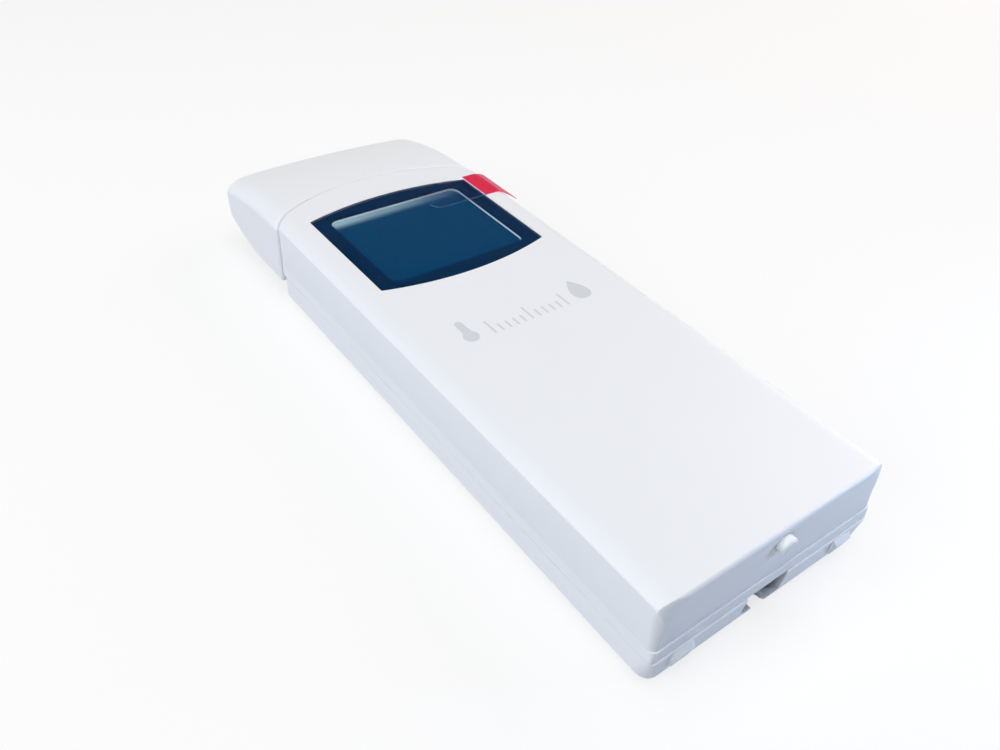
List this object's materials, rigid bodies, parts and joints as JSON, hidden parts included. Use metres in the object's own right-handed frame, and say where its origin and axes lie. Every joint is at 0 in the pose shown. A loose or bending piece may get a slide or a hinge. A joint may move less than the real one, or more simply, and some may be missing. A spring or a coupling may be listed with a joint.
{
  "type": "temperature humidity sensor",
  "caption": "Handheld temperature and humidity sensor with a display window, an end button, a data jack and a pull-off sensor cap.",
  "frame": {"origin": "middle of the flat back face, half way between the near end and the cap joint at the sides", "axes": "+Z out of the display side, +Y along the case towards the sensor cap, +X to the right of the display"},
  "size_m": [0.0505, 0.1469, 0.0192],
  "materials": {
    "case_white": "fine matt moulded plastic, white with a slight cool tint",
    "window_clear": "clear polished acrylic",
    "mask_navy": "dark navy print on the back of the pane",
    "film_clear": "thin clear protective film",
    "tab_red": "red translucent film",
    "holder_pale": "pale moulded plastic",
    "display_dark": "blank dark teal display glass",
    "diffuser_white": "white light guide",
    "rubber_grey": "soft grey rubber",
    "board_green": "green solder mask",
    "chip_black": "black moulded package",
    "jack_grey": "dark grey housing",
    "contact_gold": "gold plated wire",
    "part_metal": "satin metal cans",
    "screw_steel": "zinc plated steel",
    "plunger_cream": "cream plastic",
    "cell_foil": "foil pouch",
    "foam_dark": "dark foam pad",
    "lead_red": "insulated wire",
    "guard_grey": "light grey plastic",
    "ribbon_amber": "amber flexible film"
  },
  "bodies": {
    "case": {"upper_shell": "case_white", "lower_shell": "case_white", "window_lens": "window_clear", "lens_mask": "mask_navy", "display_film": "film_clear", "film_tab": "tab_red", "lcd_holder": "holder_pale", "lcd_glass": "display_dark", "lcd_backlight": "diffuser_white", "contact_strips": "rubber_grey", "main_board": "board_green", "controller_chip": "chip_black", "board_parts": "part_metal", "data_jack": "jack_grey", "jack_contacts": "contact_gold", "button_switch": "chip_black", "switch_board": "board_green", "cell": "cell_foil", "cell_pad": "foam_dark", "cell_socket": "plunger_cream", "cell_leads": "lead_red", "sensor_guard": "guard_grey", "sensor_board": "board_green", "sensor_chip": "chip_black", "sensor_ribbon": "ribbon_amber", "cap_ring": "rubber_grey", "case_screws": "screw_steel", "board_screws": "screw_steel"},
    "cap": {"sensor_cap": "case_white"},
    "button": {"power_button": "case_white", "switch_plunger": "plunger_cream"}
  },
  "joints": [
    {"name": "cap_pull", "type": "slide", "parent": "case", "child": "cap", "axis": [0, 1, 0], "range_m": [0, 0.025]},
    {"name": "button_press", "type": "slide", "parent": "case", "child": "button", "axis": [0, 1, 0], "range_m": [0, 0.0005], "stiffness_N_per_m": 2000}
  ]
}
